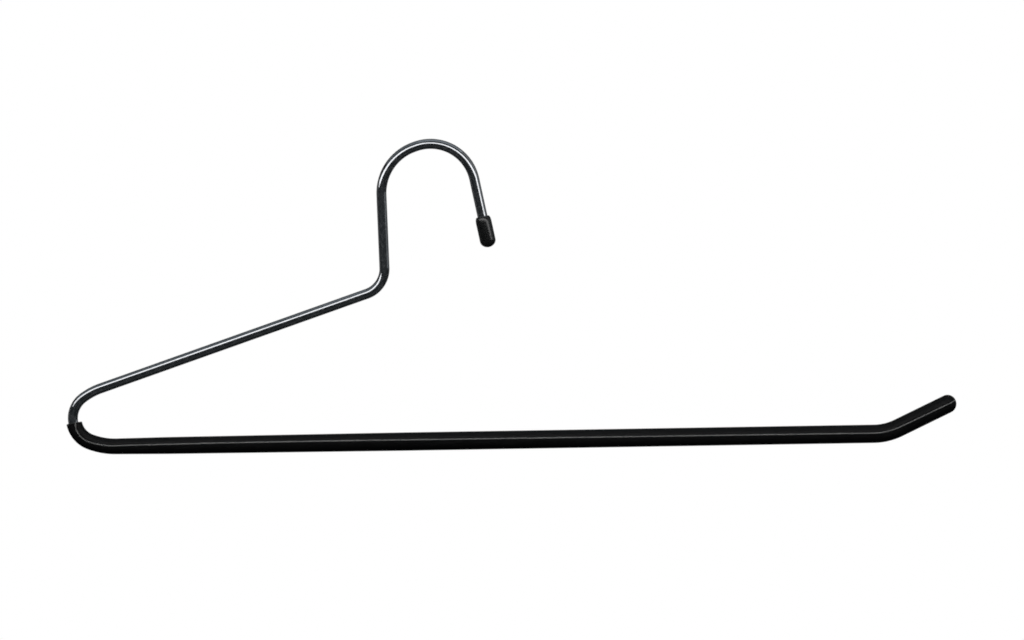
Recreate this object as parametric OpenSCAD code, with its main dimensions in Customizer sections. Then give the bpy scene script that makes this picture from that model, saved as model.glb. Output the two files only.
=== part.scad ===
// Open-ended trouser hanger: one bent steel wire with a closed vinyl sleeve over its
// trouser bar and a vinyl cap on the tip of its hook. All sizes are in millimetres.
// The hanger lies in the XZ plane, with +Z up, the bar level and its open end at +X.
// The origin is the rail seat: the underside of the wire at the crown of the hook.

/* [Wire] */
// Diameter of the frame wire
wire_d = 4; // [3:0.1:5]
// Bevel round each cut end of the wire
wire_end_bevel = 0.3; // [0.1:0.05:0.6]
// Straight feed that is left between two bends of a compound bend
bend_feed = 0.8; // [0.6:0.1:2]
// Loss of radius where the wire and the sleeve are drawn round a bend
bend_neck = 0.01; // [0.01:0.005:0.03]

/* [Hook] */
// Straight leg at the front of the hook, from its bend to the end of the cap
tip_leg = 27.4; // [18:0.1:40]
// Lean of the tip leg from upright
tip_lean = 11.4; // [2:0.1:20]
// Centreline radius of the front bend, which passes over the crown
hook_front_r = 17.6; // [14:0.1:26]
// Turn of the front bend
hook_front_turn = 97.8; // [85:0.1:120]
// Centreline radius of the back bend, which runs down into the shank
hook_back_r = 19.1; // [14:0.1:28]

/* [Shank and arm] */
// Straight length of the shank
shank_len = 28.7; // [15:0.1:60]
// Lean of the shank from upright
shank_lean = 1.4; // [0.4:0.1:6]
// Centreline radius of the bend from the shank into the arm
neck_r = 10.4; // [6:0.1:20]
// Straight length of the sloping arm
arm_len = 111.3; // [80:0.1:150]
// Slope of the arm below level
arm_slope = 18.6; // [12:0.1:26]

/* [Heel bend] */
// Centreline radius of the easy bend that leaves the arm
heel_entry_r = 24.3; // [15:0.1:40]
// Turn of the easy bend that leaves the arm
heel_entry_turn = 15.4; // [8:0.1:24]
// Centreline radius of the tight middle bend
heel_r = 10; // [7:0.1:16]
// Turn of the tight middle bend
heel_turn = 126.8; // [105:0.1:135]
// Centreline radius of the easy bend that runs out into the bar
heel_exit_r = 27.4; // [15:0.1:40]

/* [Bar] */
// Straight length of the trouser bar
bar_len = 298.4; // [200:0.1:400]
// Centreline radius of the bend at the free end of the bar
tip_bend_r = 22.8; // [15:0.1:50]
// Rise of the free end above level
tip_rise = 25.1; // [10:0.1:45]
// Straight length of the free end, from its bend to the top of the dome
tip_len = 25; // [12:0.1:40]

/* [Sleeve] */
// Wall along the bar
sleeve_wall = 1.57; // [1.4:0.01:2.5]
// Mean wall in the heel bend, where the sleeve is drawn thin
heel_wall = 1.07; // [0.8:0.01:1.25]
// Wall where the short steep taper meets the long slow one
taper_wall = 1.3; // [1.25:0.01:1.4]
// Length of the steep taper that follows the heel bend
steep_taper_len = 20; // [5:0.5:40]
// Length of the slow taper up to the full wall
slow_taper_len = 92; // [40:0.5:140]
// Turn of the tight middle bend that stays bare before the sleeve starts
bare_turn = 66; // [30:0.1:85]
// Shift of the sleeve's outside towards the open side of the heel bend
heel_shift = 0.3; // [0.1:0.05:0.6]
// Rounding of the rim at the mouth
sleeve_rim_r = 0.25; // [0.1:0.05:0.4]
// Thickness of the closed end beyond the wire
sleeve_end_wall = 2.3; // [1.5:0.1:4]

/* [Hook cap] */
// Wall of the cap
cap_wall = 1.1; // [0.9:0.05:1.8]
// Length of the cap over its dome
cap_len = 12.3; // [8:0.1:16]
// Rounding of the shoulder at the mouth
cap_rim_r = 0.8; // [0.2:0.05:0.85]
// Thickness of the closed end beyond the wire
cap_end_wall = 2; // [1.2:0.1:3]

/* [Fit] */
// Radial clearance between the wire and the bores that are pushed over it
fit_gap = 0.03; // [0.01:0.01:0.1]

/* [Hidden] */

// Facets round a rod and round a full turn of a bend
ROD_FN = 36;
BEND_FN = 108;
$fn = ROD_FN;

// How far a necked bend reaches into the full straight at each of its ends
bend_lap = 0.2;

wire_r = wire_d / 2;
bore_r = wire_r + fit_gap;
sleeve_r = bore_r + sleeve_wall;
taper_r = bore_r + taper_wall;
heel_sleeve_r = bore_r + heel_wall;
cap_r = bore_r + cap_wall;

// Wire inside the cap and inside the free end, up to the closed ends that it seats on
leg_wire = tip_leg - cap_end_wall;
free_end_wire = tip_len - sleeve_end_wall;

// Turns that are left over once the legs between the bends have their directions
hook_back_turn = 180 + shank_lean - tip_lean - hook_front_turn;
neck_turn = arm_slope - shank_lean - 90;
heel_exit_turn = 180 - arm_slope - heel_entry_turn - heel_turn;

// A stretch is [length, 0, 0] where it is straight and [0, radius, turn] where it bends.
// A turn to the left of the wire's run, from the tip of the hook onwards, is positive.
FEED = [bend_feed, 0, 0];
HOOK_TO_HEEL = [
    [0, hook_front_r, hook_front_turn],
    FEED,
    [0, hook_back_r, hook_back_turn],
    [shank_len, 0, 0],
    [0, neck_r, neck_turn],
    [arm_len, 0, 0],
    [0, heel_entry_r, heel_entry_turn],
    FEED
];
HEEL_EXIT = [0, heel_exit_r, heel_exit_turn];
TIP_BEND = [0, tip_bend_r, tip_rise];
HEEL_TO_TIP = [[0, heel_r, heel_turn], FEED, HEEL_EXIT, [bar_len, 0, 0], TIP_BEND];
HOOK_TO_MOUTH = concat(HOOK_TO_HEEL, [[0, heel_r, bare_turn]]);
MOUTH_TO_BAR = [[0, heel_r, heel_turn - bare_turn], FEED, HEEL_EXIT];

// Sleeve of full wall on the straight of the bar
full_wall_len = bar_len - heel_shift - steep_taper_len - slow_taper_len;

// A straight or bent rod that leaves the origin along +Z and bends in the XZ plane
module stretch(s, rod_r) {
    radius = s[1];
    turn = s[2];
    lap = turn == 0 ? 0 : bend_lap / radius * 180 / PI;
    if (turn == 0)
        cylinder(h = s[0], r = rod_r);
    else
        rotate(turn > 0 ? 0 : 180)
            translate([-radius, 0, 0])
                rotate([90, 0, 0])
                    rotate_extrude(angle = abs(turn) + 2 * lap, start = -lap, $fn = BEND_FN)
                        translate([radius, 0]) circle(rod_r - bend_neck);
}

// Carries its children to the far end of one stretch
module past(s) {
    centre_x = -sign(s[2]) * s[1];
    translate([centre_x, 0, s[0]]) rotate([0, -s[2], 0]) translate([-centre_x, 0, 0]) children();
}

// Carries its children along a path without drawing it
module along(path, i = 0) {
    if (i == len(path))
        children();
    else
        past(path[i]) along(path, i + 1) children();
}

// A rod along a path, with its children at the far end
module rod(path, rod_r, i = 0) {
    if (i == len(path))
        children();
    else {
        stretch(path[i], rod_r);
        past(path[i]) rod(path, rod_r, i + 1) children();
    }
}

// Carries its children to the start of the front bend, which is centred below the crown
module at_hook_start() {
    translate([0, 0, wire_r - hook_front_r])
        rotate([0, -tip_lean, 0])
            translate([hook_front_r, 0, 0])
                children();
}

// A straight end of wire whose far face is cut and bevelled
module cut_end(length) {
    full_len = length - wire_end_bevel;
    cylinder(h = full_len, r = wire_r);
    translate([0, 0, full_len])
        cylinder(h = wire_end_bevel, r1 = wire_r, r2 = wire_r - wire_end_bevel);
}

// A quarter disc that rounds the corner of a profile
module quarter_disc(radius) {
    intersection() {
        circle(radius);
        square(radius);
    }
}

// A dip-moulded end: a rod whose far end is a dome, its length taken over the dome
module domed_end(length, rod_r) {
    rotate_extrude() {
        square([rod_r, length - rod_r]);
        translate([0, length - rod_r]) quarter_disc(rod_r);
    }
}

// A flat disc with a rounded upper edge, the rim at a mouth
module rim(rod_r, round_r) {
    rotate_extrude() {
        square([rod_r - round_r, round_r]);
        translate([rod_r - round_r, 0]) quarter_disc(round_r);
    }
}

module wire_frame() {
    color([0.78, 0.8, 0.82]) at_hook_start() {
        mirror([0, 0, 1]) cut_end(leg_wire);
        rod(concat(HOOK_TO_HEEL, HEEL_TO_TIP), wire_r) cut_end(free_end_wire);
    }
}

// Solid outside of the sleeve, which lies off the wire's centre in the heel bend
module sleeve_outside() {
    translate([heel_shift, 0, 0]) at_hook_start() along(HOOK_TO_MOUTH) {
        mirror([0, 0, 1]) rim(heel_sleeve_r, sleeve_rim_r);
        rod(MOUTH_TO_BAR, heel_sleeve_r) {
            cylinder(h = steep_taper_len, r1 = heel_sleeve_r, r2 = taper_r);
            translate([0, 0, steep_taper_len]) {
                cylinder(h = slow_taper_len, r1 = taper_r, r2 = sleeve_r);
                translate([0, 0, slow_taper_len])
                    rod([[full_wall_len, 0, 0], TIP_BEND], sleeve_r) domed_end(tip_len, sleeve_r);
            }
        }
    }
}

module bar_sleeve() {
    color([0.07, 0.07, 0.08]) difference() {
        sleeve_outside();
        at_hook_start() along(HOOK_TO_HEEL)
            rod(HEEL_TO_TIP, bore_r) cylinder(h = free_end_wire, r = bore_r);
    }
}

module hook_cap() {
    barrel_len = cap_len - cap_rim_r;
    color([0.08, 0.08, 0.09]) at_hook_start() mirror([0, 0, 1]) difference() {
        translate([0, 0, tip_leg - barrel_len]) {
            domed_end(barrel_len, cap_r);
            mirror([0, 0, 1]) rim(cap_r, cap_rim_r);
        }
        cylinder(h = leg_wire, r = bore_r);
    }
}

wire_frame();
bar_sleeve();
hook_cap();
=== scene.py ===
"""Looks of an open-ended trouser hanger: a bent chromed wire, a vinyl bar sleeve and a vinyl hook cap.

The hanger lies in the XZ plane with +Z up, and its origin is the rail seat under the crown of the hook.
Sizes of the pieces are kept in millimetres and turned into metres where a mesh is drawn.
"""

import logging
import math
from dataclasses import dataclass, field
from enum import Enum

import bmesh
import bpy
from mathutils import Matrix, Vector


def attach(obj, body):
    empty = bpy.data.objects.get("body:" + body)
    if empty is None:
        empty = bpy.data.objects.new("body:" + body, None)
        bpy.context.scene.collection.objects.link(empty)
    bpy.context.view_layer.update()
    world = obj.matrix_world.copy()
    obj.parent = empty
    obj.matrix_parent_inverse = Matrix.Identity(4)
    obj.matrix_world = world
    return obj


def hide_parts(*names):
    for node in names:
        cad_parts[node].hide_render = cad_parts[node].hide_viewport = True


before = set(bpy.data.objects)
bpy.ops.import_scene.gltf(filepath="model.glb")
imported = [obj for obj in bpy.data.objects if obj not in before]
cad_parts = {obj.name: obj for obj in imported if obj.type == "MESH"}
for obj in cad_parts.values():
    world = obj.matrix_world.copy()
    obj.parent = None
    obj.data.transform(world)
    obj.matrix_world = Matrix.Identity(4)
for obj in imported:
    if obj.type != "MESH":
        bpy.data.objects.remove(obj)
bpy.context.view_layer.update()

Colour = tuple[float, float, float]
Span = tuple[float, float]
Socket = bpy.types.NodeSocket

LOG = logging.getLogger("trouser_hanger")
BODY = "root"
MM = 0.001
LEVEL_AXIS = Vector((0.0, 1.0, 0.0))

# Layers that a piece keeps on its points, for its material to read
WOUND = "wound_mm"
SEAM = "seam_mm"
CUT = "cut_face"

# Distance from the seam in mm that lies past its reach
FAR = 9.0
# Length in mm that no path reaches
ENDLESS = 1e9
# How much more a miss beyond a stretch counts than the same distance beside it
MISS_WEIGHT = 40.0
# Distance in metres within which corners are one
ONE_POINT = 1e-6
# Edges that turn by more than this many degrees stay sharp
SHARP = 40.0
WHITE = (1.0, 1.0, 1.0, 1.0)

# Places of three stretches in the wire's path
HEEL_BEND = 8
BAR = 11
TIP_BEND = 12


class Node(Enum):
    """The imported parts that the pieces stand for."""

    WIRE = "wire_frame"
    SLEEVE = "bar_sleeve"
    CAP = "hook_cap"


class Slot(Enum):
    """The record's material slots."""

    CHROME = "chromed_wire"
    SLEEVE = "black_sleeve"
    CAP = "black_cap"


@dataclass(frozen=True)
class Stretch:
    """One stretch of a bent rod, straight where its turn is zero.

    Args:
        length: Straight length in mm.
        radius: Centreline radius of a bend in mm.
        turn: Turn of a bend in degrees, positive to the left of the run.
    """

    length: float = 0.0
    radius: float = 0.0
    turn: float = 0.0

    def run(self) -> float:
        """Length along the centreline in mm."""
        return self.length if self.turn == 0 else self.radius * abs(math.radians(self.turn))


@dataclass(frozen=True)
class Spot:
    """A place on a path.

    Args:
        x: Its X in mm.
        z: Its Z in mm.
        heading: The way the path runs there, in degrees from +X towards +Z.
        along: How far along the path it lies, in mm.
    """

    x: float
    z: float
    heading: float
    along: float

    def place(self) -> Vector:
        """The place in metres."""
        return Vector((self.x, 0.0, self.z)) * MM

    def tangent(self) -> Vector:
        """The way the path runs."""
        a = math.radians(self.heading)
        return Vector((math.cos(a), 0.0, math.sin(a)))

    def left(self) -> Vector:
        """The way to the left of the run, in the plane of the hanger."""
        a = math.radians(self.heading)
        return Vector((-math.sin(a), 0.0, math.cos(a)))


@dataclass(frozen=True)
class BentPath:
    """A centreline of straight feeds and round bends in the plane of the hanger.

    Args:
        x: Start in mm.
        z: Start in mm.
        heading: Direction of the run at the start, in degrees from +X towards +Z.
        stretches: The stretches in their order.
    """

    x: float
    z: float
    heading: float
    stretches: tuple[Stretch, ...]

    def joints(self) -> list[Spot]:
        """Finds where the stretches meet.

        Returns:
            The start of every stretch and the end of the last one.
        """
        spots = [Spot(self.x, self.z, self.heading, 0.0)]
        for stretch in self.stretches:
            spots.append(self.step(spots[-1], stretch, stretch.run()))
        return spots

    def step(self, start: Spot, stretch: Stretch, along: float) -> Spot:
        """Walks into one stretch.

        Args:
            start: Start of the stretch.
            stretch: The stretch.
            along: How far to walk in mm.

        Returns:
            The spot that is reached.
        """
        a = math.radians(start.heading)
        walked = start.along + along
        if stretch.turn == 0:
            return Spot(start.x + along * math.cos(a), start.z + along * math.sin(a), start.heading, walked)
        side = math.copysign(1.0, stretch.turn)
        cx = start.x - side * stretch.radius * math.sin(a)
        cz = start.z + side * stretch.radius * math.cos(a)
        b = a + side * along / stretch.radius
        x = cx + side * stretch.radius * math.sin(b)
        z = cz - side * stretch.radius * math.cos(b)
        return Spot(x, z, math.degrees(b), walked)

    def spot(self, along: float) -> Spot:
        """Finds a place by its distance along the path.

        Args:
            along: The distance in mm. Before the start and past the end the path runs on straight.

        Returns:
            The spot.
        """
        joints = self.joints()
        straight = Stretch(length=1.0)
        if along <= 0:
            return self.step(joints[0], straight, along)
        for start, stretch in zip(joints, self.stretches):
            if along <= start.along + stretch.run():
                return self.step(start, stretch, along - start.along)
        return self.step(joints[-1], straight, along - joints[-1].along)

    def length(self) -> float:
        """Whole length in mm."""
        return sum(stretch.run() for stretch in self.stretches)

    def shifted(self, x: float, taken_up: int) -> "BentPath":
        """The same path moved along X, up to a straight that takes the move up again.

        Args:
            x: The move in mm.
            taken_up: Index of the level straight that is shorter by the move.

        Returns:
            The moved path.
        """
        stretches = list(self.stretches)
        stretches[taken_up] = Stretch(length=stretches[taken_up].length - x)
        return BentPath(self.x + x, self.z, self.heading, tuple(stretches))

    def beside(self, start: Spot, stretch: Stretch, x: float, z: float) -> tuple[float, float]:
        """Measures a place against one stretch.

        Args:
            start: Start of the stretch.
            stretch: The stretch.
            x: X of the place in mm.
            z: Z of the place in mm.

        Returns:
            Its distance to the left of the stretch and its distance along it, in mm.
        """
        a = math.radians(start.heading)
        dx, dz = x - start.x, z - start.z
        if stretch.turn == 0:
            return -dx * math.sin(a) + dz * math.cos(a), dx * math.cos(a) + dz * math.sin(a)
        side = math.copysign(1.0, stretch.turn)
        cx = dx + side * stretch.radius * math.sin(a)
        cz = dz - side * stretch.radius * math.cos(a)
        turned = math.remainder(math.atan2(cz * side, cx * side) - (a - math.pi / 2), math.tau) * side
        return side * (stretch.radius - math.hypot(cx, cz)), turned * stretch.radius

    def straightened(self, points: list[Vector]) -> list[Vector]:
        """Finds where points would lie if the path were pulled straight.

        Args:
            points: Places in metres, near the path.

        Returns:
            For each point its offset to the left, its own Y and its distance along the path, in mm.
        """
        joints = self.joints()
        last = len(self.stretches) - 1
        found = []
        for point in points:
            x, z = point.x / MM, point.z / MM
            best, answer = ENDLESS, (0.0, 0.0)
            for i, (start, stretch) in enumerate(zip(joints, self.stretches)):
                left, along = self.beside(start, stretch, x, z)
                low = -ENDLESS if i == 0 else 0.0
                high = ENDLESS if i == last else stretch.run()
                miss = abs(left) + MISS_WEIGHT * max(low - along, along - high, 0.0)
                if miss < best:
                    best, answer = miss, (left, start.along + along)
            found.append(Vector((answer[0], point.y / MM, answer[1])))
        return found


def deselect() -> None:
    """Deselects every object and leaves none active."""
    bpy.ops.object.select_all(action="DESELECT")
    bpy.context.view_layer.objects.active = None


def activate(piece: bpy.types.Object) -> None:
    """Makes one object the only selected and active one.

    Args:
        piece: The object.
    """
    deselect()
    piece.select_set(True)
    bpy.context.view_layer.objects.active = piece


def settle(piece: bpy.types.Object) -> None:
    """Applies an object's place, so that it sits at the origin, unturned and unscaled."""
    activate(piece)
    bpy.ops.object.transform_apply(location=True, rotation=True, scale=True)


def smooth(piece: bpy.types.Object) -> None:
    """Shades a piece smooth, with its sharp edges kept."""
    activate(piece)
    bpy.ops.object.shade_smooth_by_angle(angle=math.radians(SHARP))


def select_open_edges() -> None:
    """Selects the open edges of the mesh in edit mode, and nothing else."""
    bpy.ops.mesh.select_all(action="DESELECT")
    bpy.ops.mesh.select_non_manifold(
        use_wire=False, use_multi_face=False, use_non_contiguous=False, use_verts=False
    )


def store_vectors(piece: bpy.types.Object, name: str, values: list[Vector]) -> None:
    """Keeps one vector for each corner point of a piece, for its material to read."""
    layer = piece.data.attributes.new(name, "FLOAT_VECTOR", "POINT")
    layer.data.foreach_set("vector", [c for v in values for c in v])


def store_values(piece: bpy.types.Object, name: str, values: list[float]) -> None:
    """Keeps one number for each corner point of a piece, for its material to read."""
    layer = piece.data.attributes.new(name, "FLOAT", "POINT")
    layer.data.foreach_set("value", values)


class Drawing:
    """A tube skin that is drawn along a path ring by ring, as a bending machine feeds and bends wire."""

    # Most degrees of a bend between two rings
    BEND_STEP = 2.0
    # Length in mm that is too short to draw
    NO_FEED = 1e-6

    def __init__(self, name: str, path: BentPath, along: float, radius: float, sides: int) -> None:
        """Lays the first ring and starts edit mode.

        Args:
            name: Name of the object.
            path: The centreline.
            along: Where on the path the first ring stands, in mm.
            radius: Radius of the first ring in mm.
            sides: Corners of the ring.
        """
        self.path = path
        self.along = along
        self.radius = radius
        # 1 to draw with the run of the path, -1 to draw against it
        self.way = 1.0
        spot = path.spot(along)
        deselect()
        bpy.ops.mesh.primitive_circle_add(
            vertices=sides,
            radius=radius * MM,
            fill_type="NOTHING",
            location=spot.place(),
            rotation=(0.0, math.radians(90.0 - spot.heading), 0.0),
        )
        self.piece = bpy.context.object
        self.piece.name = name
        self.piece.data.name = name
        settle(self.piece)
        bpy.ops.object.mode_set(mode="EDIT")
        bpy.ops.mesh.select_all(action="SELECT")

    def here(self) -> Spot:
        """The spot of the ring that is drawn last."""
        return self.path.spot(self.along)

    def refine_front(self, cuts: int) -> None:
        """Puts more corners on the ring's front, so that a fine seam can be raised there.

        Args:
            cuts: New corners on each of the two front edges.
        """
        net = bmesh.from_edit_mesh(self.piece.data)
        front = min(corner.co.y for corner in net.verts) + ONE_POINT
        bpy.ops.mesh.select_all(action="DESELECT")
        bpy.ops.mesh.select_mode(type="EDGE")
        for edge in net.edges:
            edge.select_set(any(corner.co.y < front for corner in edge.verts))
        bpy.ops.mesh.subdivide(number_cuts=cuts)
        centre = self.here().place()
        for corner in net.verts:
            out = corner.co - centre
            corner.co = centre + out.normalized() * (self.radius * MM)
        bmesh.update_edit_mesh(self.piece.data)
        bpy.ops.mesh.select_all(action="SELECT")

    def resize(self, radius: float) -> None:
        """Gives the last ring another radius.

        Args:
            radius: The new radius in mm.
        """
        if not math.isclose(radius, self.radius):
            k = radius / self.radius
            bpy.ops.transform.resize(value=(k, k, k), center_override=self.here().place())
            self.radius = radius

    def go_back_from(self, along: float, radius: float) -> None:
        """Takes up the open ring at the start, to draw from it against the run of the path.

        Args:
            along: Where that ring stands, in mm.
            radius: Its radius in mm.
        """
        bpy.ops.mesh.select_mode(type="VERT")
        select_open_edges()
        self.way = -1.0
        self.along = along
        self.radius = radius

    def feed(self, length: float, radius: float | None = None) -> None:
        """Draws a straight stretch.

        Args:
            length: Its length in mm.
            radius: Radius at its end in mm, or None to keep it.
        """
        move = self.here().tangent() * (self.way * length * MM)
        bpy.ops.mesh.extrude_region_move(TRANSFORM_OT_translate={"value": move})
        self.along += self.way * length
        if radius is not None:
            self.resize(radius)

    def bend(self, radius: float, turn: float) -> None:
        """Draws a bend.

        Args:
            radius: Centreline radius in mm.
            turn: Turn in degrees, positive to the left of the path's own run.
        """
        spot = self.here()
        centre = spot.place() + spot.left() * (math.copysign(radius, turn) * MM)
        steps = max(2, math.ceil(abs(turn) / self.BEND_STEP))
        bpy.ops.mesh.spin(steps=steps, angle=math.radians(turn) * self.way, center=centre, axis=LEVEL_AXIS)
        self.along += self.way * radius * math.radians(abs(turn))

    def follow(self, until: float) -> None:
        """Draws with the run of the path, stretch by stretch, up to a place on it.

        Args:
            until: The place in mm along the path.
        """
        joints = self.path.joints()
        last = len(self.path.stretches) - 1
        for i, (start, stretch) in enumerate(zip(joints, self.path.stretches)):
            endless = i == last and stretch.turn == 0
            end = ENDLESS if endless else start.along + stretch.run()
            part = min(until, end) - max(self.along, start.along)
            if part < self.NO_FEED:
                continue
            if stretch.turn == 0:
                self.feed(part)
            else:
                self.bend(stretch.radius, stretch.turn * part / stretch.run())

    def shoulder(self, long: float, deep: float, rings: int) -> None:
        """Widens the skin over a rounded shoulder.

        Args:
            long: Length of the shoulder in mm.
            deep: How much the radius grows over it in mm.
            rings: Rings over its quarter turn.
        """
        start = self.radius
        for i in range(1, rings + 1):
            before, after = math.pi / 2 * (i - 1) / rings, math.pi / 2 * i / rings
            self.feed(long * (math.cos(before) - math.cos(after)), start + deep * math.sin(after))

    def dome(self, height: float, rings: int) -> None:
        """Closes the skin with a round end.

        Args:
            height: Height of the round end in mm.
            rings: Rings over its quarter turn.
        """
        full, done = self.radius, 0.0
        for i in range(1, rings):
            a = math.pi / 2 * i / rings
            self.feed(height * math.sin(a) - done, full * math.cos(a))
            done = height * math.sin(a)
        self.feed(height - done)
        bpy.ops.mesh.merge(type="CENTER")

    def close_flat(self) -> None:
        """Closes the skin with a flat face."""
        bpy.ops.mesh.edge_face_add()

    def done(self) -> bpy.types.Object:
        """Leaves edit mode with the faces turned outwards.

        Returns:
            The drawn object.
        """
        bpy.ops.mesh.select_all(action="SELECT")
        bpy.ops.mesh.remove_doubles(threshold=ONE_POINT)
        bpy.ops.mesh.normals_make_consistent(inside=False)
        bpy.ops.mesh.select_all(action="DESELECT")
        bpy.ops.object.mode_set(mode="OBJECT")
        return self.piece


@dataclass(frozen=True)
class Grain:
    """A noise pattern that is wound along the wire.

    Args:
        across: Repeats for each mm across the wire.
        along: Repeats for each mm along it.
        detail: How many finer layers it has.
        rough: How strong the finer layers are.
        height: Height of its bumps in mm.
        span: The part of the noise, between 0 and 1, over which a patch fades in.
    """

    across: float
    along: float
    detail: float = 2.0
    rough: float = 0.5
    height: float = 0.0
    span: Span = (0.0, 1.0)


class Nodes:
    """Short hand for wiring the nodes of one material."""

    def __init__(self, name: str) -> None:
        """Starts an empty material.

        Args:
            name: Its name.
        """
        self.material = bpy.data.materials.new(name)
        self.material.use_nodes = True
        self.tree = self.material.node_tree
        self.tree.nodes.clear()
        self.out = self.add("ShaderNodeOutputMaterial")

    def add(self, kind: str, **settings: object) -> bpy.types.Node:
        """Adds a node.

        Args:
            kind: Blender's name of the node.
            settings: Its properties by name.

        Returns:
            The node.
        """
        node = self.tree.nodes.new(kind)
        for key, value in settings.items():
            setattr(node, key, value)
        return node

    def link(self, source: Socket, target: Socket) -> None:
        """Links two sockets."""
        self.tree.links.new(source, target)

    def attribute(self, name: str) -> bpy.types.Node:
        """Reads a layer that is kept on the piece's points."""
        return self.add("ShaderNodeAttribute", attribute_type="GEOMETRY", attribute_name=name)

    def grain(self, wound: Socket, grain: Grain) -> Socket:
        """Draws a noise pattern.

        Args:
            wound: Coordinates that are wound along the wire, in mm.
            grain: The pattern.

        Returns:
            Its value, between 0 and 1.
        """
        mapping = self.add("ShaderNodeMapping", vector_type="POINT")
        mapping.inputs["Scale"].default_value = (grain.across, grain.across, grain.along)
        self.link(wound, mapping.inputs["Vector"])
        noise = self.add("ShaderNodeTexNoise", noise_dimensions="3D")
        noise.inputs["Scale"].default_value = 1.0
        noise.inputs["Detail"].default_value = grain.detail
        noise.inputs["Roughness"].default_value = grain.rough
        self.link(mapping.outputs["Vector"], noise.inputs["Vector"])
        return noise.outputs["Fac"]

    def ramp(self, value: Socket, span: Span, out: Span = (0.0, 1.0)) -> Socket:
        """Maps a span of a value onto another one, smoothly and with both ends held.

        Args:
            value: The value.
            span: The span that it is read over.
            out: What the two ends of the span become.

        Returns:
            The mapped value.
        """
        node = self.add("ShaderNodeMapRange", interpolation_type="SMOOTHSTEP", clamp=True)
        node.inputs["From Min"].default_value, node.inputs["From Max"].default_value = span
        node.inputs["To Min"].default_value, node.inputs["To Max"].default_value = out
        self.link(value, node.inputs["Value"])
        return node.outputs["Result"]

    def patches(self, wound: Socket, grain: Grain, out: Span = (0.0, 1.0)) -> Socket:
        """Draws patches that fade in over a pattern's span, from one value of out to the other."""
        return self.ramp(self.grain(wound, grain), grain.span, out)

    def maths(self, operation: str, a: Socket, b: Socket | float) -> Socket:
        """Works one sum.

        Args:
            operation: Blender's name of the sum.
            a: The first value.
            b: The second value.

        Returns:
            The result.
        """
        node = self.add("ShaderNodeMath", operation=operation)
        self.link(a, node.inputs[0])
        if isinstance(b, float):
            node.inputs[1].default_value = b
        else:
            self.link(b, node.inputs[1])
        return node.outputs["Value"]

    def blend(self, factor: Socket, a: Socket | Colour, b: Socket | Colour) -> Socket:
        """Mixes two colours.

        Args:
            factor: The share of the second one.
            a: The first colour.
            b: The second colour.

        Returns:
            The mixed colour.
        """
        node = self.add("ShaderNodeMix", data_type="RGBA")
        self.link(factor, node.inputs[0])
        for value, socket in ((a, node.inputs[6]), (b, node.inputs[7])):
            if isinstance(value, Socket):
                self.link(value, socket)
            else:
                socket.default_value = (*value, 1.0)
        return node.outputs[2]

    def bump(self, height: Socket, millimetres: float, strength: float, before: Socket | None) -> Socket:
        """Turns a height between 0 and 1 into a bumped normal.

        Args:
            height: The height.
            millimetres: What a height of 1 stands for.
            strength: How much of the bump is kept.
            before: A normal that is already bumped, or None.

        Returns:
            The normal.
        """
        node = self.add("ShaderNodeBump")
        node.inputs["Strength"].default_value = strength
        node.inputs["Distance"].default_value = millimetres * MM
        self.link(height, node.inputs["Height"])
        if before is not None:
            self.link(before, node.inputs["Normal"])
        return node.outputs["Normal"]

    def surface(self) -> bpy.types.Node:
        """Adds the Principled shader and links it to the output.

        Returns:
            The shader.
        """
        node = self.add("ShaderNodeBsdfPrincipled")
        self.link(node.outputs["BSDF"], self.out.inputs["Surface"])
        return node


@dataclass(frozen=True)
class Chrome:
    """Bright chrome plate over drawn steel wire, with drawing lines and light handling marks.

    Args:
        colour: Colour of the clean plate.
        dull: Colour where it is hazy or scuffed.
        polish: Roughness of the clean plate.
        haze: Roughness where it is hazy.
        filmed: Metal that still shows through the film on it, as a share.
        cloud_share: How hazy a cloud is at most.
        scuff_share: How hazy a scuff is.
        bump: How much of the bumps is kept.
        scuff_bump: How much of the scuffs' bumps is kept.
        lines: Lines that the drawing die left.
        waves: Slow swell of the wire's skin.
        dents: Small dents of the bending rolls.
        clouds: Hazy places.
        scuffs: Handling marks.
        film: Thin film on the plate.
    """

    colour: Colour = (0.60, 0.615, 0.64)
    dull: Colour = (0.50, 0.50, 0.49)
    polish: float = 0.07
    haze: float = 0.2
    filmed: float = 0.86
    cloud_share: float = 0.5
    scuff_share: float = 0.6
    bump: float = 0.5
    scuff_bump: float = 0.4
    lines: Grain = Grain(9.0, 0.12, detail=3.0, rough=0.6, height=0.004)
    waves: Grain = Grain(0.5, 0.16, detail=1.0, height=0.05)
    dents: Grain = Grain(1.1, 0.7, height=0.03)
    clouds: Grain = Grain(0.6, 0.25, detail=4.0, rough=0.65, span=(0.56, 0.78))
    scuffs: Grain = Grain(14.0, 1.6, rough=0.7, height=0.002, span=(0.60, 0.74))
    film: Grain = Grain(1.0, 0.55, detail=4.0, rough=0.65, span=(0.42, 0.72))

    def material(self) -> bpy.types.Material:
        """Builds the material.

        Returns:
            The material.
        """
        n = Nodes("chrome_plate")
        wound = n.attribute(WOUND).outputs["Vector"]
        shader = n.surface()
        n.link(n.patches(wound, self.film, (1.0, self.filmed)), shader.inputs["Metallic"])
        marks = n.patches(wound, self.scuffs)
        clouds = n.patches(wound, self.clouds, (0.0, self.cloud_share))
        haze = n.maths("MAXIMUM", clouds, n.maths("MULTIPLY", marks, self.scuff_share))
        n.link(n.blend(haze, self.colour, self.dull), shader.inputs["Base Color"])
        n.link(n.ramp(haze, (0.0, 1.0), (self.polish, self.haze)), shader.inputs["Roughness"])
        normal = None
        for grain in (self.waves, self.dents, self.lines):
            normal = n.bump(n.grain(wound, grain), grain.height, self.bump, normal)
        n.link(n.bump(marks, self.scuffs.height, self.scuff_bump, normal), shader.inputs["Normal"])
        return n.material


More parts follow.
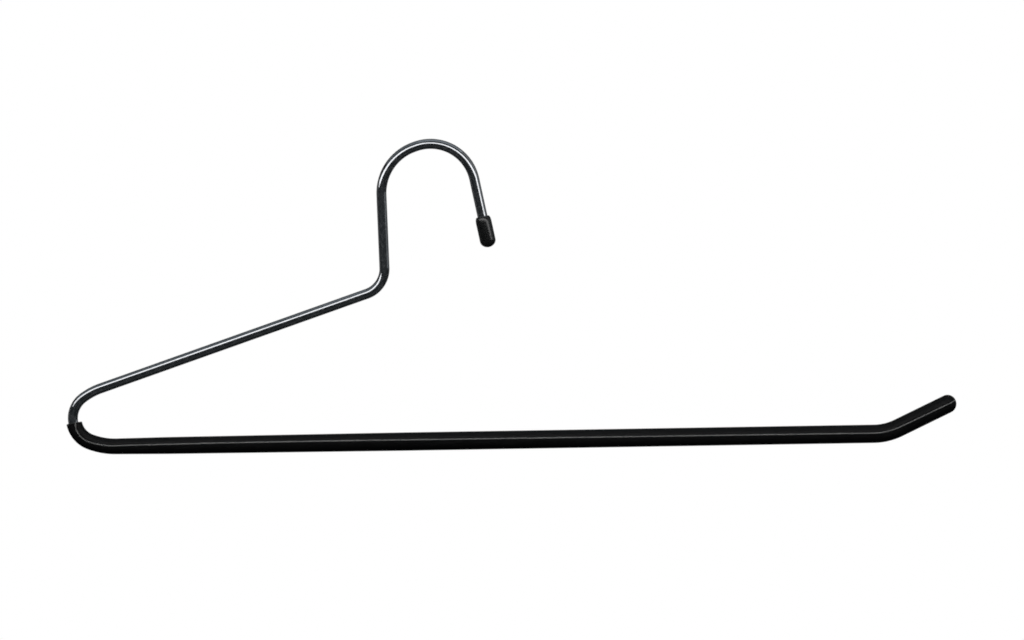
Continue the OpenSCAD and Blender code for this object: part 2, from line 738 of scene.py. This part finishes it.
@dataclass(frozen=True)
class Vinyl:
    """Soft black vinyl with a fine skin texture, a duller seam and cut face, and a painted highlight along
    the seam's crest.

    Args:
        name: Name of the material.
        colour: Colour of the clean vinyl.
        seam: Colour of the seam's crest, a painted highlight: it stands in for the thin line of light that
            the raised seam catches.
        cut: Colour of a cut face.
        gloss: Roughness of the clean skin.
        matt: Roughness of the rubbed skin.
        sheen_level: How much of a smooth skin's reflection is left.
        dust: Colour of the dust on it.
        ior: Refractive index of the vinyl.
        edge_matt: Roughness of the seam and of a cut face.
        seam_span: Distances from the seam in mm between which its crest fades out.
        worn_gain: How many times as bright the rubbed vinyl is.
        worn_lift: What is added to that.
        rub_share: How far a rubbed place turns to the colour of rubbed vinyl.
        speck_share: How far a speck turns to the colour of dust.
        bump: How much of the bumps is kept.
        swell: Slow swell of the moulded skin.
        drawn: Marks that run along it.
        skin: Fine texture of the skin.
        rubbed: Rubbed places.
        specks: Specks of dust.
    """

    name: str
    colour: Colour
    seam: Colour
    cut: Colour
    gloss: float
    matt: float
    sheen_level: float
    dust: Colour = (0.10, 0.10, 0.10)
    ior: float = 1.53
    edge_matt: float = 0.65
    seam_span: Span = (0.12, 0.24)
    worn_gain: float = 1.6
    worn_lift: float = 0.002
    rub_share: float = 0.5
    speck_share: float = 0.25
    bump: float = 0.5
    swell: Grain = Grain(0.35, 0.10, detail=1.0, height=0.10)
    drawn: Grain = Grain(3.0, 0.05, height=0.02)
    skin: Grain = Grain(5.0, 3.0, detail=3.0, rough=0.6, height=0.006)
    rubbed: Grain = Grain(0.8, 0.12, detail=4.0, rough=0.6, span=(0.42, 0.72))
    specks: Grain = Grain(3.1, 3.1, span=(0.70, 0.76))

    def worn(self) -> Colour:
        """Colour of the rubbed vinyl."""
        return tuple(self.worn_gain * c + self.worn_lift for c in self.colour)

    def material(self) -> bpy.types.Material:
        """Builds the material.

        Returns:
            The material.
        """
        n = Nodes(self.name)
        wound = n.attribute(WOUND).outputs["Vector"]
        rub = n.patches(wound, self.rubbed)
        specks = n.patches(wound, self.specks)
        # Mask of the seam's crest, for its painted highlight colour and its duller roughness
        crest = n.ramp(n.attribute(SEAM).outputs["Fac"], self.seam_span, (1.0, 0.0))
        cut = n.attribute(CUT).outputs["Fac"]
        shader = n.surface()
        shader.inputs["IOR"].default_value = self.ior
        shader.inputs["Specular IOR Level"].default_value = self.sheen_level
        plain = n.blend(n.maths("MULTIPLY", rub, self.rub_share), self.colour, self.worn())
        dusty = n.blend(n.maths("MULTIPLY", specks, self.speck_share), plain, self.dust)
        # Painted highlight: the pale crest colour stands in for the light that the raised seam catches
        seam_highlighted = n.blend(crest, dusty, self.seam)
        n.link(n.blend(cut, seam_highlighted, self.cut), shader.inputs["Base Color"])
        edges = n.maths("MULTIPLY", n.maths("MAXIMUM", crest, cut), self.edge_matt)
        skin = n.ramp(rub, (0.0, 1.0), (self.gloss, self.matt))
        n.link(n.maths("MAXIMUM", skin, edges), shader.inputs["Roughness"])
        normal = None
        for grain in (self.swell, self.drawn, self.skin):
            normal = n.bump(n.grain(wound, grain), grain.height, self.bump, normal)
        n.link(normal, shader.inputs["Normal"])
        return n.material


@dataclass
class WireFrame:
    """The one bent wire: tip leg, hook, shank, arm, heel and the core of the bar. In mm and degrees."""

    wire_d: float = 4.0
    end_bevel: float = 0.3
    feed: float = 0.8
    tip_leg: float = 27.4
    tip_lean: float = 11.4
    hook_front_r: float = 17.6
    hook_front_turn: float = 97.8
    hook_back_r: float = 19.1
    shank_len: float = 28.7
    shank_lean: float = 1.4
    neck_r: float = 10.4
    arm_len: float = 111.3
    arm_slope: float = 18.6
    heel_entry_r: float = 24.3
    heel_entry_turn: float = 15.4
    heel_r: float = 10.0
    heel_turn: float = 126.8
    heel_exit_r: float = 27.4
    bar_len: float = 298.4
    tip_bend_r: float = 22.8
    tip_rise: float = 25.1
    tip_len: float = 25.0
    cap_end_wall: float = 2.0
    sleeve_end_wall: float = 2.3
    sides: int = 64
    finish: Chrome = field(default_factory=Chrome)

    def radius(self) -> float:
        """Radius of the wire in mm."""
        return self.wire_d / 2

    def path(self) -> BentPath:
        """Lays out the wire's centreline.

        Returns:
            The path, from the start of the front bend to the top of the sleeve's dome.
        """
        lean = math.radians(self.tip_lean)
        back_turn = 180 + self.shank_lean - self.tip_lean - self.hook_front_turn
        exit_turn = 180 - self.arm_slope - self.heel_entry_turn - self.heel_turn
        return BentPath(
            self.hook_front_r * math.cos(lean),
            self.radius() - self.hook_front_r + self.hook_front_r * math.sin(lean),
            90 + self.tip_lean,
            (
                Stretch(radius=self.hook_front_r, turn=self.hook_front_turn),
                Stretch(length=self.feed),
                Stretch(radius=self.hook_back_r, turn=back_turn),
                Stretch(length=self.shank_len),
                Stretch(radius=self.neck_r, turn=self.arm_slope - self.shank_lean - 90),
                Stretch(length=self.arm_len),
                Stretch(radius=self.heel_entry_r, turn=self.heel_entry_turn),
                Stretch(length=self.feed),
                Stretch(radius=self.heel_r, turn=self.heel_turn),
                Stretch(length=self.feed),
                Stretch(radius=self.heel_exit_r, turn=exit_turn),
                Stretch(length=self.bar_len),
                Stretch(radius=self.tip_bend_r, turn=self.tip_rise),
                Stretch(length=self.tip_len),
            ),
        )

    def build(self) -> bpy.types.Object:
        """Draws the wire from its hook end to its bar end and dresses it.

        Returns:
            The finished wire.
        """
        path = self.path()
        first = self.end_bevel + self.cap_end_wall - self.tip_leg
        last = path.length() - self.sleeve_end_wall
        pen = Drawing("hanger_wire", path, first, self.radius(), self.sides)
        pen.feed(-first)
        pen.follow(last - self.end_bevel)
        self.cut_end(pen)
        pen.go_back_from(first, self.radius())
        self.cut_end(pen)
        piece = pen.done()
        store_vectors(piece, WOUND, path.straightened([v.co for v in piece.data.vertices]))
        smooth(piece)
        piece.data.materials.append(self.finish.material())
        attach(piece, BODY)
        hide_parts(Node.WIRE.value)
        return piece

    def cut_end(self, pen: Drawing) -> None:
        """Bevels and closes an end of the wire."""
        pen.feed(self.end_bevel, self.radius() - self.end_bevel)
        pen.close_flat()


@dataclass
class BarSleeve:
    """The closed vinyl sleeve over the bar. Sizes in mm, turn in degrees.

    The seam runs along its front, and seam_run says where: mm past the mouth, degrees above the front.
    """

    wire: WireFrame
    fit_gap: float = 0.03
    sleeve_wall: float = 1.57
    heel_wall: float = 1.07
    taper_wall: float = 1.3
    steep_taper_len: float = 20.0
    slow_taper_len: float = 92.0
    bare_turn: float = 66.0
    heel_shift: float = 0.3
    rim_r: float = 0.25
    sides: int = 64
    rim_rings: int = 4
    steep_rings: int = 4
    slow_rings: int = 8
    dome_rings: int = 14
    seam_cuts: int = 3
    seam_half: float = 0.11
    seam_proud: float = 0.05
    bore_slack: float = 0.1
    cut_slack: float = 0.02
    finish: Vinyl = field(
        default_factory=lambda: Vinyl(
            name="sleeve_vinyl",
            colour=(0.011, 0.011, 0.0114),
            # Pale seam colour: painted highlight along the raised seam's crest
            seam=(0.42, 0.42, 0.41),
            cut=(0.12, 0.12, 0.11),
            gloss=0.42,
            matt=0.52,
            sheen_level=0.125,
        )
    )
    seam_run: tuple[tuple[float, float], ...] = (
        (0, 13), (3, 3), (6, -2), (9, -1.5), (13, 2), (17, 4.5), (25, 7.5), (35, 9), (45, 10), (57, 11.5),
        (68, 13.3), (120, 13.3), (135, 12), (155, 10.8), (165, 9.8), (200, 10), (215, 9), (262, 9),
        (278, 10.2), (290, 8.5), (310, 7.5), (318, 5.5), (325, 6), (330, 3.5), (336, 1.5), (355, 0),
    )

    def bore(self) -> float:
        """Radius of the bore in mm."""
        return self.wire.radius() + self.fit_gap

    def mouth(self) -> float:
        """Where the mouth lies along the wire's path, in mm."""
        bend = self.wire.path().joints()[HEEL_BEND]
        return bend.along + self.wire.heel_r * math.radians(self.bare_turn)

    def outside_path(self) -> BentPath:
        """Centreline of the outside, which lies off the wire's own in the heel bend."""
        return self.wire.path().shifted(self.heel_shift, BAR)

    def radius_at(self, along: float) -> float:
        """Outside radius by the distance along the path.

        Args:
            along: The distance in mm.

        Returns:
            The radius in mm.
        """
        past = along - self.wire.path().joints()[BAR].along
        if past < 0:
            return self.bore() + self.heel_wall
        if past < self.steep_taper_len:
            grown = (self.taper_wall - self.heel_wall) * past / self.steep_taper_len
            return self.bore() + self.heel_wall + grown
        past -= self.steep_taper_len
        if past < self.slow_taper_len:
            grown = (self.sleeve_wall - self.taper_wall) * past / self.slow_taper_len
            return self.bore() + self.taper_wall + grown
        return self.bore() + self.sleeve_wall

    def seam_angle(self, past: float) -> float:
        """Angle of the seam above the front of the sleeve.

        Args:
            past: Distance past the mouth in mm.

        Returns:
            The angle in degrees.
        """
        run = self.seam_run
        if past <= run[0][0]:
            return run[0][1]
        for (a, low), (b, high) in zip(run, run[1:]):
            if past <= b:
                k = (past - a) / (b - a)
                k = k * k * (3 - 2 * k)
                return low + (high - low) * k
        return run[-1][1]

    def taper_steps(self) -> list[float]:
        """Lengths of the feeds over the two tapers, in mm."""
        steep = [self.steep_taper_len / self.steep_rings] * self.steep_rings
        return steep + [self.slow_taper_len / self.slow_rings] * self.slow_rings

    def draw_outside(self) -> bpy.types.Object:
        """Draws the outer skin from the mouth to the top of the dome.

        Returns:
            The skin, open at the mouth.
        """
        path = self.outside_path()
        joints = path.joints()
        rim = self.radius_at(0.0) - self.rim_r
        pen = Drawing("outside", path, self.mouth(), rim, self.sides)
        pen.refine_front(self.seam_cuts)
        pen.shoulder(self.rim_r, self.rim_r, self.rim_rings)
        pen.follow(joints[BAR].along)
        for length in self.taper_steps():
            pen.feed(length)
            pen.resize(self.radius_at(pen.along))
        full = self.radius_at(joints[TIP_BEND].along)
        pen.follow(joints[TIP_BEND].along)
        pen.follow(path.length() - full)
        pen.dome(full, self.dome_rings)
        return pen.done()

    def draw_bore(self) -> bpy.types.Object:
        """Draws the bore from the mouth to its closed end.

        Returns:
            The skin, open at the mouth.
        """
        path = self.wire.path()
        pen = Drawing("bore", path, self.mouth(), self.bore(), self.sides)
        pen.refine_front(self.seam_cuts)
        pen.follow(path.length() - self.wire.sleeve_end_wall)
        pen.close_flat()
        return pen.done()

    def build(self) -> bpy.types.Object:
        """Joins the two skins at the mouth, raises the seam and dresses the sleeve.

        Returns:
            The finished sleeve.
        """
        outside = self.draw_outside()
        bore = self.draw_bore()
        activate(outside)
        bore.select_set(True)
        bpy.ops.object.join()
        piece = bpy.context.object
        piece.name = piece.data.name = "vinyl_bar_sleeve"
        bpy.ops.object.mode_set(mode="EDIT")
        bpy.ops.mesh.select_mode(type="EDGE")
        select_open_edges()
        bpy.ops.mesh.bridge_edge_loops()
        bpy.ops.mesh.select_all(action="SELECT")
        bpy.ops.mesh.normals_make_consistent(inside=False)
        bpy.ops.object.mode_set(mode="OBJECT")
        self.raise_seam(piece)
        store_vectors(piece, WOUND, self.outside_path().straightened([v.co for v in piece.data.vertices]))
        smooth(piece)
        piece.data.materials.append(self.finish.material())
        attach(piece, BODY)
        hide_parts(Node.SLEEVE.value)
        return piece

    def raise_seam(self, piece: bpy.types.Object) -> None:
        """Turns each ring to the seam, raises its fine corners there, and marks the seam and the cut face.

        Args:
            piece: The closed sleeve.
        """
        path = self.outside_path()
        mouth = self.mouth()
        bore_end = path.length() - self.wire.sleeve_end_wall + self.bore_slack
        bore_reach = self.bore() + self.heel_shift + self.bore_slack
        cut_reach = self.radius_at(0.0) - self.rim_r + self.cut_slack
        seams, cuts = [], []
        wound = path.straightened([v.co for v in piece.data.vertices])
        for corner, (left, y, along) in zip(piece.data.vertices, wound):
            radius = math.hypot(left, y)
            cuts.append(float(along < mouth + self.cut_slack and radius < cut_reach))
            if radius < bore_reach and along < bore_end:
                seams.append(FAR)
                continue
            angle = math.atan2(left, -y)
            aside = angle * radius
            seams.append(min(abs(aside), FAR))
            turned = angle + math.radians(self.seam_angle(along - mouth))
            raised = radius + self.seam_proud * math.exp(-((aside / self.seam_half) ** 2))
            spot = path.spot(along)
            corner.co = spot.place() + spot.left() * (raised * math.sin(turned) * MM)
            corner.co.y = -raised * math.cos(turned) * MM
        piece.data.update()
        store_values(piece, SEAM, seams)
        store_values(piece, CUT, cuts)


@dataclass
class HookCap:
    """The vinyl cap on the tip of the hook, with a long soft shoulder at its mouth. Sizes in mm."""

    wire: WireFrame
    fit_gap: float = 0.03
    wall: float = 1.1
    length: float = 12.3
    shoulder_len: float = 2.2
    shoulder_depth: float = 0.85
    dome_height: float = 2.75
    sides: int = 64
    shoulder_rings: int = 12
    dome_rings: int = 14
    finish: Vinyl = field(
        default_factory=lambda: Vinyl(
            name="cap_vinyl",
            colour=(0.014, 0.014, 0.0142),
            seam=(0.1, 0.1, 0.1),
            cut=(0.03, 0.03, 0.03),
            gloss=0.20,
            matt=0.28,
            sheen_level=0.95,
        )
    )

    def build(self) -> bpy.types.Object:
        """Draws the cap as one skin, from its bore's closed end round the mouth to its dome.

        Returns:
            The finished cap.
        """
        path = self.wire.path()
        apex = -self.wire.tip_leg
        bore = self.wire.radius() + self.fit_gap
        pen = Drawing("vinyl_hook_cap", path, apex + self.wire.cap_end_wall, bore, self.sides)
        pen.close_flat()
        bpy.ops.mesh.select_mode(type="EDGE")
        pen.feed(self.length - self.wire.cap_end_wall)
        pen.resize(bore + self.wall - self.shoulder_depth)
        pen.way = -1.0
        pen.shoulder(self.shoulder_len, self.shoulder_depth, self.shoulder_rings)
        pen.feed(pen.along - apex - self.dome_height)
        pen.dome(self.dome_height, self.dome_rings)
        piece = pen.done()
        count = len(piece.data.vertices)
        store_vectors(piece, WOUND, path.straightened([v.co for v in piece.data.vertices]))
        store_values(piece, SEAM, [FAR] * count)
        store_values(piece, CUT, [0.0] * count)
        smooth(piece)
        piece.data.materials.append(self.finish.material())
        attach(piece, BODY)
        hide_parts(Node.CAP.value)
        return piece


@dataclass(frozen=True)
class Lamp:
    """One soft box.

    Args:
        name: Name of the lamp.
        place: Its middle, in metres.
        aim: The point it faces, in metres.
        width: Its width in metres.
        height: Its height in metres.
        power: Its radiance.
        colour: Its colour.
    """

    name: str
    place: tuple[float, float, float]
    aim: tuple[float, float, float]
    width: float
    height: float
    power: float
    colour: Colour = (1.0, 1.0, 1.0)

    def build(self) -> None:
        """Sets the soft box up, facing its aim, with its width level."""
        data = bpy.data.lights.new(self.name, "AREA")
        data.shape = "RECTANGLE"
        data.size = self.width
        data.size_y = self.height
        data.color = self.colour
        data.energy = self.power * self.width * self.height * math.pi
        lamp = bpy.data.objects.new(self.name, data)
        bpy.context.scene.collection.objects.link(lamp)
        lamp.visible_camera = False
        facing = (Vector(self.aim) - Vector(self.place)).to_track_quat("-Z", "Y")
        lamp.matrix_world = Matrix.Translation(self.place) @ facing.to_matrix().to_4x4()


@dataclass
class Studio:
    """The white room: a pale floor, a white ground behind the hanger, soft boxes and the camera.

    Args:
        view_centre: X and Z of the middle of the picture, in metres.
        view_width: Width of the picture at the hanger, in metres.
        camera_far: Distance of the camera in metres.
        sensor: Width of its sensor in mm.
        clip: Nearest and farthest thing that it sees, in metres.
        roll: Turn of the picture in degrees.
        edge_softness: Width in pixels over which an edge is blended.
        floor_x: X of the floor's middle in metres.
        floor_z: Height of the floor in metres.
        floor_r: Radius of the floor in metres.
        floor_sides: Corners of the floor.
        floor_paint: Grey of the floor.
        floor_matt: Roughness of the floor.
        floor_glow: The floor's own light at its middle and at its rim.
        glow_from: Radius in metres from which the floor grows lighter.
        room_tint: Colour of the dim room that the hanger mirrors.
        room_light: Strength of that room.
        lamps: The soft boxes.
    """

    view_centre: tuple[float, float] = (0.031154, -0.067796)
    view_width: float = 0.40274
    camera_far: float = 2.0
    sensor: float = 36.0
    clip: Span = (0.05, 50.0)
    roll: float = 0.95
    edge_softness: float = 1.8
    floor_x: float = 0.03
    floor_z: float = -0.36
    floor_r: float = 2.0
    floor_sides: int = 96
    floor_paint: float = 0.16
    floor_matt: float = 0.8
    floor_glow: Span = (0.68, 1.0)
    glow_from: float = 0.2
    room_tint: Colour = (0.82, 0.93, 1.0)
    room_light: float = 0.02
    lamps: tuple[Lamp, ...] = (
        Lamp("key_panel", (0.31, -0.294, 0.086), (0.33, -0.146, -0.115), 1.67, 0.115, 1.8),
        Lamp("top_right", (0.44, -0.05, 1.5), (0.44, -0.05, 0.0), 1.68, 1.6, 0.26, (0.84, 0.93, 1.0)),
        Lamp("top_middle", (-0.525, -0.05, 1.5), (-0.525, -0.05, 0.0), 0.25, 1.6, 0.19, (0.82, 0.92, 1.0)),
        Lamp("top_left", (-1.4, -0.05, 1.5), (-1.4, -0.05, 0.0), 1.5, 1.6, 0.13, (0.80, 0.92, 1.0)),
        Lamp("back_panel", (0.0, 0.6, -0.095), (0.0, 0.0, -0.095), 0.52, 0.36, 0.9),
        Lamp("right_card", (1.66, -0.05, 0.82), (0.0, -0.05, -0.06), 1.6, 1.9, 0.17, (0.92, 0.97, 1.0)),
        Lamp("left_card", (-1.4, 0.3, 0.1), (0.0, 0.0, -0.06), 0.4, 1.0, 0.10),
        Lamp("low_card", (0.0, -0.9, -1.1), (0.0, 0.0, -0.06), 3.0, 0.35, 0.024),
        Lamp("front_card", (0.0, -2.4, -0.06), (0.0, 0.0, -0.06), 8.0, 0.5, 0.014, (0.88, 0.95, 1.0)),
    )

    def build_camera(self) -> None:
        """Sets up the camera square to the hanger's plane, rolled as the photograph is."""
        data = bpy.data.cameras.new("camera")
        data.sensor_fit = "HORIZONTAL"
        data.sensor_width = self.sensor
        data.lens = self.sensor * self.camera_far / self.view_width
        data.clip_start, data.clip_end = self.clip
        data.dof.use_dof = False
        camera = bpy.data.objects.new("camera", data)
        bpy.context.scene.collection.objects.link(camera)
        camera.location = (self.view_centre[0], -self.camera_far, self.view_centre[1])
        camera.rotation_euler = (math.radians(90.0), math.radians(self.roll), 0.0)
        bpy.context.scene.camera = camera

    def build_world(self) -> None:
        """Gives the camera a white ground past the hanger, and everything else a dim room."""
        world = bpy.data.worlds.new("white_room")
        world.use_nodes = True
        bpy.context.scene.world = world
        tree = world.node_tree
        tree.nodes.clear()
        out = tree.nodes.new("ShaderNodeOutputWorld")
        mix = tree.nodes.new("ShaderNodeMixShader")
        path = tree.nodes.new("ShaderNodeLightPath")
        room = tree.nodes.new("ShaderNodeBackground")
        ground = tree.nodes.new("ShaderNodeBackground")
        room.inputs["Color"].default_value = (*self.room_tint, 1.0)
        room.inputs["Strength"].default_value = self.room_light
        ground.inputs["Color"].default_value = WHITE
        ground.inputs["Strength"].default_value = 1.0
        tree.links.new(path.outputs["Is Camera Ray"], mix.inputs["Fac"])
        tree.links.new(room.outputs["Background"], mix.inputs[1])
        tree.links.new(ground.outputs["Background"], mix.inputs[2])
        tree.links.new(mix.outputs["Shader"], out.inputs["Surface"])

    def floor_finish(self) -> bpy.types.Material:
        """Paints the floor, which glows with a painted light of its own that grows to white towards its
        rim.

        Returns:
            The material.
        """
        n = Nodes("floor_paint")
        shader = n.surface()
        shader.inputs["Base Color"].default_value = (*[self.floor_paint] * 3, 1.0)
        shader.inputs["Roughness"].default_value = self.floor_matt
        # Painted light: the floor's own glow, dimmer at its middle and white at its rim
        shader.inputs["Emission Color"].default_value = WHITE
        out = n.add("ShaderNodeVectorMath", operation="LENGTH")
        n.link(n.add("ShaderNodeTexCoord").outputs["Object"], out.inputs[0])
        glow = n.ramp(out.outputs["Value"], (self.glow_from, self.floor_r), self.floor_glow)
        n.link(glow, shader.inputs["Emission Strength"])
        return n.material

    def build_floor(self) -> None:
        """Lays a round pale floor below the hanger, out of its reflections."""
        deselect()
        bpy.ops.mesh.primitive_circle_add(
            vertices=self.floor_sides,
            radius=self.floor_r,
            fill_type="NGON",
            location=(self.floor_x, 0.0, self.floor_z),
        )
        floor = bpy.context.object
        floor.name = "floor"
        settle(floor)
        floor.data.materials.append(self.floor_finish())
        floor.visible_glossy = False
        floor.visible_diffuse = False

    def build(self) -> None:
        """Sets up camera, ground, floor and lamps."""
        self.build_camera()
        self.build_world()
        self.build_floor()
        for lamp in self.lamps:
            lamp.build()
        scene = bpy.context.scene
        scene.view_settings.view_transform = "Standard"
        scene.view_settings.look = "None"
        scene.cycles.filter_width = self.edge_softness


def main() -> None:
    """Builds the studio and the three pieces, and reports each."""
    logging.basicConfig(level=logging.INFO, format="%(name)s: %(message)s")
    Studio().build()
    wire = WireFrame()
    for builder in (wire, BarSleeve(wire), HookCap(wire)):
        piece = builder.build()
        LOG.info("%s: %d faces", piece.name, len(piece.data.polygons))


if __name__ == "__main__":
    main()
